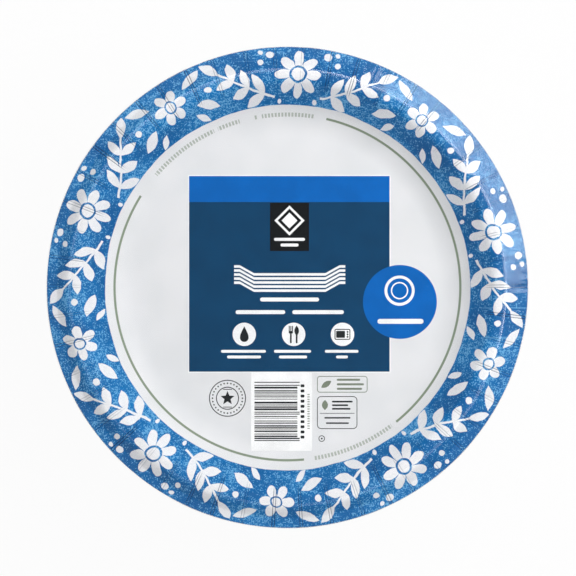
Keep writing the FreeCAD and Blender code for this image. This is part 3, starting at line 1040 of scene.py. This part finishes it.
# %% The inks
def make_ink_mottle():
    """A colour times a slow and a fine noise, each within a few hundredths of 1."""
    inputs = (("Vector", "Vector"), ("Color", "Color"))
    group, start, end = new_group("ink mottle", inputs, (("Color", "Color"),))
    slow = steps(group, noise(group, start["Vector"], 70, 3), 0.3, 0.7, 0.94, 1.06)
    fine = steps(group, noise(group, start["Vector"], 1600, 2), 0.3, 0.7, 0.97, 1.03)
    scaled = add(group, "VectorMath", start["Color"], operation="SCALE")
    feed(group, scaled.inputs["Scale"], maths(group, "MULTIPLY", slow, fine))
    feed(group, end["Color"], scaled.outputs[0])
    return group


INK_MOTTLE = make_ink_mottle()


def make_ink_material(name, colour):
    """Mottled ink to the eye and to mirrors, and clear for shadow and diffuse rays."""
    material, tree, shader, output = new_material(name)
    place = add(tree, "TexCoord").outputs["Object"]
    feed(tree, shader.inputs["Base Color"], use_group(tree, INK_MOTTLE, place, srgb(*colour))[0])
    shader.inputs["Roughness"].default_value = INK_ROUGHNESS
    shader.inputs["Specular IOR Level"].default_value = 0.05
    clear = add(tree, "BsdfTransparent")
    path = add(tree, "LightPath").outputs
    lets_by = maths(tree, "MAXIMUM", path["Is Shadow Ray"], path["Is Diffuse Ray"])
    mixed = add(tree, "MixShader", lets_by, shader.outputs[0], clear.outputs[0])
    tree.links.new(mixed.outputs[0], output.inputs["Surface"])
    return material

# %% [markdown]
# The panel is a square with a thin white edge. It carries a lighter band along its top, and
# a roundel lies over its right side. Their places and sizes are named once, because the
# marks that follow are placed by them.

# %% Fields of the label
PANEL = (1.0, 7.2, 106.4, 103.8)
FRINGE = 0.5
TOP_BAND = 13.8
ROUNDEL = (59.7, -7.7, 19.6)
ICON_Y = -24.9
ICONS_X = (-22.9, 3.3, 29.2)
CODE = (-3.1, -65.8, 32.4, 41.8)
CODE_RUN = 31.4
SEAL = (-31.8, -58.8)
label_rng = np.random.default_rng(7)


def panel_box(grow):
    """The panel's outline, larger by an even margin."""
    x, y, width, height = PANEL
    return rounded(x, y, width + 2 * grow, height + 2 * grow, 0.15)


make_ink("label-edge", [(panel_box(FRINGE), panel_box(0.05))], 3, (249, 250, 251))
panel_top, panel_low = PANEL[1] + PANEL[3] / 2, PANEL[1] - PANEL[3] / 2
navy_top = panel_top - TOP_BAND
navy_field = rounded(PANEL[0], (navy_top + panel_low) / 2, PANEL[2], navy_top - panel_low, 0.15)
make_ink("label-navy", filled(navy_field), 3, (10, 66, 104))
top_band = rounded(PANEL[0], panel_top - TOP_BAND / 2, PANEL[2], TOP_BAND, 0.15)
make_ink("label-blue", filled(top_band, disc(*ROUNDEL, 120)), 2, (2, 102, 186))

# %% [markdown]
# The white marks show what the pack holds: five nested plates from the side, with bars
# below them, three discs with bars for the small pictures, and a plate from above on the
# roundel. The field for the bar code is white too.

# %% White marks
white = [nested_plate(-1.0 + 2.15 * step) for step in range(5)]
white += [bar(-14.5, 16.8, -6.4, 2.1), bar(-27.5, -1.2, -13.1, 2.1), bar(2.6, 29.9, -13.1, 2.1)]
white += filled(*(disc(x, ICON_Y, 6.2) for x in ICONS_X))
bars_below = (((-35.2, -11.4), (-32.0, -14.0)), ((-7.1, 12.5), (-4.5, 10.4)), ((19.9, 37.7), (25.8, 32.1)))
for upper, lower in bars_below:
    white += [bar(*upper, -33.9, 1.5), bar(*lower, -36.9, 1.5)]
plate_x, plate_y = ROUNDEL[0] - 0.2, ROUNDEL[1] + 6.0
white += [round_line(plate_x, plate_y, 8.0, 1.5), round_line(plate_x, plate_y, 4.6, 0.7)]
white += [bar(47.8, 72.2, -18.0, 2.6)]
white += filled(rounded(*CODE, 0.2))
make_ink("label-white", white, 1, (248, 249, 250))

# %% [markdown]
# A small dark field hangs from the top band, with a diamond and two bars on it.

# %% The dark field and its diamond
field_x, field_top = 1.1, panel_top - 14.2
diamond_y = field_top - 9.4
make_ink("label-field", filled(rounded(field_x, field_top - 12.8, 20.7, 25.6, 0.3)), 2, (17, 21, 24))
diamond = [(star(field_x, diamond_y, 8.0, 5.66, 4), star(field_x, diamond_y, 6.3, 4.46, 4))]
diamond += filled(star(field_x, diamond_y, 4.2, 3.0, 4))
diamond += [bar(field_x - 8.2, field_x + 8.2, field_top - 19.4, 1.6)]
diamond += [bar(field_x - 4.8, field_x + 4.8, field_top - 22.4, 1.6)]
make_ink("label-diamond", diamond, 1, (246, 247, 248))

# %% [markdown]
# The dark ink draws the three small pictures on their discs, then the bar code with its
# row of blocks, a round seal with a star, and a boxed badge. The widths of the bars are
# drawn at random and then stretched to fill their field, so the code says nothing.

# %% Dark marks
fork_x, knife_x = ICONS_X[1] - 1.5, ICONS_X[1] + 1.6
pictures = filled(drop(ICONS_X[0], ICON_Y + 0.2, 5.0, 8.4))
pictures += filled(*(rounded(fork_x + side * 0.85, ICON_Y + 3.0, 0.5, 3.0, 0.2) for side in (-1, 0, 1)))
pictures += filled(rounded(fork_x, ICON_Y + 1.1, 2.2, 1.4, 0.6))
pictures += filled(rounded(fork_x, ICON_Y - 2.1, 0.9, 5.2, 0.4))
blade = leaf(knife_x, ICON_Y + 1.9, 5.4, 2.4, np.pi / 2)
pictures += filled(blade, rounded(knife_x, ICON_Y - 2.1, 0.9, 5.2, 0.4))
pictures += [box_line(ICONS_X[2], ICON_Y, 8.4, 5.8, 0.8, 0.5)]
pictures += filled(rounded(ICONS_X[2] - 1.0, ICON_Y, 4.7, 3.7, 0.5))
pictures += filled(*(disc(ICONS_X[2] + 2.7, ICON_Y + rise, 0.5, 24) for rise in (-1.3, 0.0, 1.3)))

code_y = CODE[1]
thickness = label_rng.choice([0.3, 0.5, 0.75, 1.0], 30, p=[0.4, 0.3, 0.2, 0.1])
gaps = label_rng.choice([0.3, 0.5, 0.8, 1.1], 30, p=[0.35, 0.3, 0.2, 0.15])[:-1]
spread = CODE_RUN / (thickness.sum() + gaps.sum())
along = np.cumsum(thickness) - thickness / 2 + np.cumsum(np.append(0, gaps))
bar_y = code_y - CODE_RUN / 2 + spread * along
for number, (y, thick) in enumerate(zip(bar_y, thickness * spread)):
    guard = 1.2 if number in (0, 1, 14, 15, 28, 29) else 0
    pictures += filled(rounded(-6.1 + guard / 2, y, 22.8 + guard, thick, 0.05))
pictures += filled(*(rounded(8.0, y, 2.0, 1.5, 0.4) for y in code_y + np.linspace(-13.6, 13.6, 11)))

seal_x, seal_y = SEAL
pictures += [round_line(seal_x, seal_y, 9.8, 0.5), round_line(seal_x, seal_y, 6.1, 0.5)]
dot_turn = np.arange(28) * 2 * np.pi / 28
dots = zip(seal_x + 7.95 * np.cos(dot_turn), seal_y + 7.95 * np.sin(dot_turn))
pictures += filled(*(disc(x, y, 0.42, 16) for x, y in dots), star(seal_x, seal_y, 3.9, 1.7))
pictures += [bar(seal_x - 2.4, seal_x + 2.4, seal_y + side * 4.7, 0.4) for side in (-1, 1)]
pictures += [box_line(26.4, -66.4, 21.4, 17.4, 2.2, 0.4), round_line(18.2, -80.2, 1.7, 0.4)]
pictures += filled(disc(18.2, -80.2, 0.5, 16))
pictures += [bar(23.6, right, y, 0.9) for right, y in ((34.6, -60.6), (32.2, -62.5), (33.4, -64.4))]
pictures += [bar(17.2, 35.6, -66.8, 0.3), bar(19.6, 33.4, -69.2, 0.8), bar(20.4, 32.6, -72.0, 0.8)]
make_ink("label-dark", pictures, 0, (38, 42, 44))

# %% [markdown]
# The last ink is a quiet grey-green: a second badge with a leaf, a leaf on the first one,
# and a row of small blocks beside the bar code.

# %% Quiet marks
quiet = [box_line(29.1, -51.4, 26.8, 8.8, 1.6, 0.4)]
quiet += filled(leaf(20.6, -51.4, 6.4, 2.9, 0.6))
quiet += [bar(26.2, right, y, 1.1) for right, y in ((38.6, -49.0), (40.6, -51.4), (39.6, -53.8))]
quiet += filled(leaf(19.9, -62.4, 5.4, 3.2, np.pi / 2))
quiet += filled(*(rounded(11.2, y, 1.2, 0.5, 0.1) for y in code_y + np.linspace(-9, 9, 15)))
make_ink("label-quiet", quiet, 0, (128, 138, 122))

# %% [markdown]
# ## The set
#
# The photo looks straight down in soft light from the upper right, on a white ground. The
# ground is white to the camera alone, so it puts no more light on the pack, and it is
# clear from below, to show the underside.

# %% The ground
GROUND_GLOW = 0.94


def make_floor():
    """One large square that gives back light from above, and glows for camera rays."""
    mesh = bpy.data.meshes.new("floor")
    mesh.from_pydata([(-4, -4, 0), (4, -4, 0), (4, 4, 0), (-4, 4, 0)], [], [(0, 1, 2, 3)])
    floor = bpy.data.objects.new("floor", mesh)
    bpy.context.collection.objects.link(floor)
    material, tree, shader, output = new_material("white ground")
    shader.inputs["Base Color"].default_value = (0.85, 0.85, 0.85, 1)
    shader.inputs["Roughness"].default_value = 0.9
    glow = add(tree, "Emission", (1, 1, 1, 1), 1.0)
    seen = maths(tree, "MULTIPLY", add(tree, "LightPath").outputs["Is Camera Ray"], GROUND_GLOW)
    mixed = add(tree, "MixShader", seen, shader.outputs[0], glow.outputs[0])
    below = add(tree, "NewGeometry").outputs["Backfacing"]
    one_sided = add(tree, "MixShader", below, mixed.outputs[0], add(tree, "BsdfTransparent").outputs[0])
    tree.links.new(one_sided.outputs[0], output.inputs["Surface"])
    mesh.materials.append(material)
    return floor


floor = make_floor()
print("ground made:", floor.name)

# %% [markdown]
# The world is an even sky with a bright ring overhead, which leans to the upper right like
# the light in the photo and is dim in its middle, where the flat film would mirror it into
# the camera. Three upright strips give the film on the sides something to mirror. A soft
# lamp adds the rest. To the camera the world is plain white.

# %% Light
SKY = 0.26
PANEL_GLOW = 1.62
PANEL_LEAN = (1.47, 1.63, 0.0)
OVERHEAD_DIM = 1.1
STRIP_GLOW = 2.6
KEY_PLACE = (0.46, 0.3, 0.88)
KEY_WATTS = 5.0
KEY_SIZE = 0.7


def make_light(name, place, size, watts):
    """A square area light that faces the top of the stack."""
    light = bpy.data.lights.new(name, "AREA")
    light.shape = "SQUARE"
    light.size = size
    light.energy = watts
    lamp = bpy.data.objects.new(name, light)
    bpy.context.collection.objects.link(lamp)
    lamp.location = place
    aim = np.array([0, 0, 0.2]) - np.array(place)
    tilt, turn = np.arctan2(np.hypot(aim[0], aim[1]), -aim[2]), np.arctan2(aim[1], aim[0])
    lamp.rotation_euler = (tilt, 0, turn - np.pi / 2)


def make_sky():
    """Even white, a ring overhead, brightest at the upper right, and three upright strips."""
    world = bpy.data.worlds.new("studio")
    bpy.context.scene.world = world
    world.use_nodes = True
    tree = world.node_tree
    toward = add(tree, "TexCoord").outputs["Generated"]
    way = add(tree, "SeparateXYZ", toward).outputs
    up = way[2]
    shader = tree.nodes["Background"]
    shader.inputs["Color"].default_value = (1, 1, 1, 1)
    dimmed = steps(tree, up, 0.975, 0.992, 0.0, OVERHEAD_DIM)
    panel = maths(tree, "SUBTRACT", steps(tree, up, 0.865, 0.9), dimmed)
    lean = measured(tree, "DOT_PRODUCT", toward, PANEL_LEAN)
    panel = maths(tree, "MULTIPLY", panel, maths(tree, "MAXIMUM", maths(tree, "ADD", lean, 1.0), 0.0))
    around = maths(tree, "ARCTAN2", way[1], way[0])
    strip = steps(tree, maths(tree, "COSINE", maths(tree, "MULTIPLY_ADD", around, 3.0, 0.5)), 0.9, 0.96)
    band = maths(tree, "SUBTRACT", steps(tree, up, 0.03, 0.1), steps(tree, up, 0.5, 0.62))
    strip = maths(tree, "MULTIPLY", strip, band)
    light = maths(tree, "MULTIPLY_ADD", strip, STRIP_GLOW, SKY)
    light = maths(tree, "MULTIPLY_ADD", panel, PANEL_GLOW, light)
    seen = add(tree, "LightPath").outputs["Is Camera Ray"]
    feed(tree, shader.inputs["Strength"], add(tree, "MapRange", seen, 0.0, 1.0, light, 1.0).outputs[0])


make_light("key-light", KEY_PLACE, KEY_SIZE, KEY_WATTS)
make_sky()
bpy.context.scene.view_settings.view_transform = "Standard"
print("lamp of", KEY_WATTS, "W and a sky of", SKY)

# %% [markdown]
# A long lens keeps the deep rim from spreading. The height follows from the width that the
# picture shows at the lip: distance / width = focal length / sensor width.

# %% Camera
VIEW_WIDTH = 0.3066
LENS = 150
LIP_RISE = RIM_RISE + BOARD - SKIRT_DROP


def make_camera():
    """Straight down, so that VIEW_WIDTH metres at the lip fill the picture's width."""
    camera = bpy.data.cameras.new("camera")
    camera.lens = LENS
    camera.shift_x, camera.shift_y = 0.001, -0.001
    viewer = bpy.data.objects.new("camera", camera)
    bpy.context.collection.objects.link(viewer)
    viewer.location = (0, 0, top_low.z + LIP_RISE * MM + VIEW_WIDTH * LENS / camera.sensor_width)
    bpy.context.scene.camera = viewer
    return viewer


camera = make_camera()
print("camera at a height of", round(camera.location.z, 4), "m")
